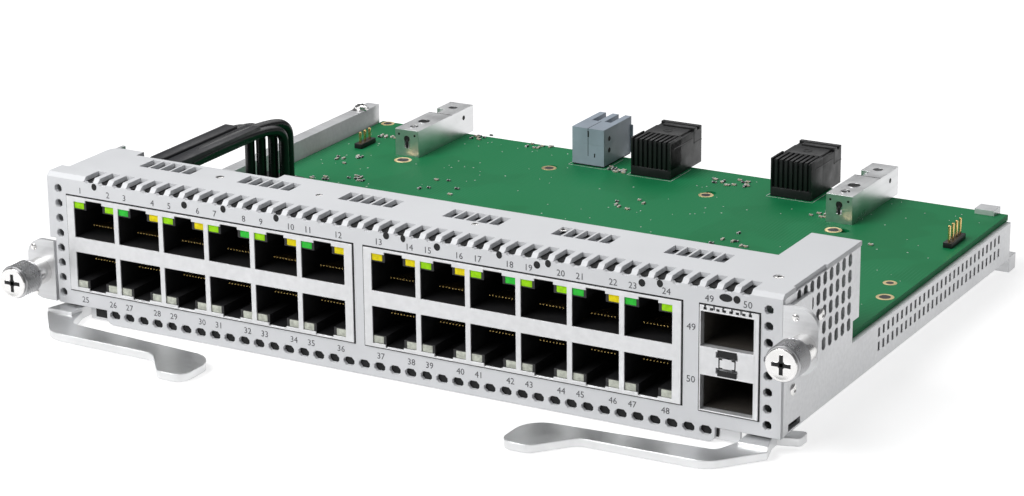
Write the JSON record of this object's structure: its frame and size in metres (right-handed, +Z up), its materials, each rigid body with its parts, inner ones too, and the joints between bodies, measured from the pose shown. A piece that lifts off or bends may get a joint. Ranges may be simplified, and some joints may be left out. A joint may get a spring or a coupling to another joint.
{
  "type": "switch line card",
  "caption": "Perforated face plate and open sheet tray carrying a circuit board, two-row network jacks, a stacked transceiver cage, ejector levers and captive screws",
  "frame": {"origin": "on the surface the card rests on, under the middle of its bounding box", "axes": "+X to the right along the face plate seen from the front, +Y back into the chassis, +Z up"},
  "size_m": [0.2272, 0.183, 0.0392],
  "materials": {
    "panel_paint": "satin light grey",
    "tray_steel": "satin zinc plated",
    "board": "green solder mask",
    "steel_small": "bright plated",
    "screw_silver": "bright nickel",
    "lever_alloy": "satin cast",
    "shield_tin": "bright tin plated",
    "black_plastic": "matt black",
    "contact_gold": "gold plated",
    "lens": "clear tinted lens",
    "guide_alloy": "machined",
    "grey_plastic": "blue grey",
    "cable_rubber": "black sleeve",
    "chip_black": "moulded package"
  },
  "bodies": {
    "chassis": {"base_tray": "tray_steel", "black_backplane_socket_1": "black_plastic", "black_backplane_socket_2": "black_plastic", "board_cable_plug": "black_plastic", "board_screws": "steel_small", "cable_socket": "black_plastic", "front_cable_plug": "black_plastic", "front_panel": "panel_paint", "grey_backplane_socket": "grey_plastic", "guide_block_left": "guide_alloy", "guide_block_right": "guide_alloy", "header_pins_left": "contact_gold", "header_pins_right": "contact_gold", "jack_contacts_1": "contact_gold", "jack_contacts_2": "contact_gold", "jack_housing_1": "black_plastic", "jack_housing_2": "black_plastic", "jack_shield_1": "shield_tin", "jack_shield_2": "shield_tin", "jumper_cable_1": "cable_rubber", "jumper_cable_2": "cable_rubber", "jumper_cable_3": "cable_rubber", "jumper_cable_4": "cable_rubber", "jumper_cable_5": "cable_rubber", "lever_pin_left": "steel_small", "lever_pin_right": "steel_small", "main_board": "board", "phy_chips": "chip_black", "pin_header_left": "black_plastic", "pin_header_right": "black_plastic", "port_lenses_1": "lens", "port_lenses_2": "lens", "power_module": "chip_black", "rear_clip": "black_plastic", "screw_bracket_left": "tray_steel", "screw_bracket_right": "tray_steel", "screw_ferrule_left": "steel_small", "screw_ferrule_right": "steel_small", "sfp_cage": "shield_tin", "sfp_connectors": "black_plastic", "sfp_gasket": "shield_tin", "sfp_latch_bar": "shield_tin", "standoffs": "steel_small", "switch_chip": "chip_black"},
    "lever_left": {"ejector_lever_left": "lever_alloy"},
    "ring_left": {"screw_ring_left": "steel_small"},
    "screw_left": {"thumbscrew_left": "screw_silver"},
    "lever_right": {"ejector_lever_right": "lever_alloy"},
    "ring_right": {"screw_ring_right": "steel_small"},
    "screw_right": {"thumbscrew_right": "screw_silver"}
  },
  "joints": [
    {"name": "lever_left_swing", "type": "hinge", "parent": "chassis", "child": "lever_left", "pos_m": [-0.09932, -0.0595, 0.0016], "axis": [0, 0, -1], "range_deg": [-3, 60]},
    {"name": "screw_left_slide", "type": "slide", "parent": "chassis", "child": "ring_left", "axis": [0, 1, 0], "range_m": [0, 0.004], "stiffness_N_per_m": 400, "springref_m": -0.002},
    {"name": "screw_left_spin", "type": "hinge", "parent": "ring_left", "child": "screw_left", "pos_m": [-0.10908, -0.0645, 0.0116], "axis": [0, 1, 0], "continuous": true},
    {"name": "lever_right_swing", "type": "hinge", "parent": "chassis", "child": "lever_right", "pos_m": [0.09782, -0.0595, 0.0016], "axis": [0, 0, 1], "range_deg": [-3, 60]},
    {"name": "screw_right_slide", "type": "slide", "parent": "chassis", "child": "ring_right", "axis": [0, 1, 0], "range_m": [0, 0.004], "stiffness_N_per_m": 400, "springref_m": -0.002},
    {"name": "screw_right_spin", "type": "hinge", "parent": "ring_right", "child": "screw_right", "pos_m": [0.10908, -0.0645, 0.0272], "axis": [0, 1, 0], "continuous": true}
  ]
}
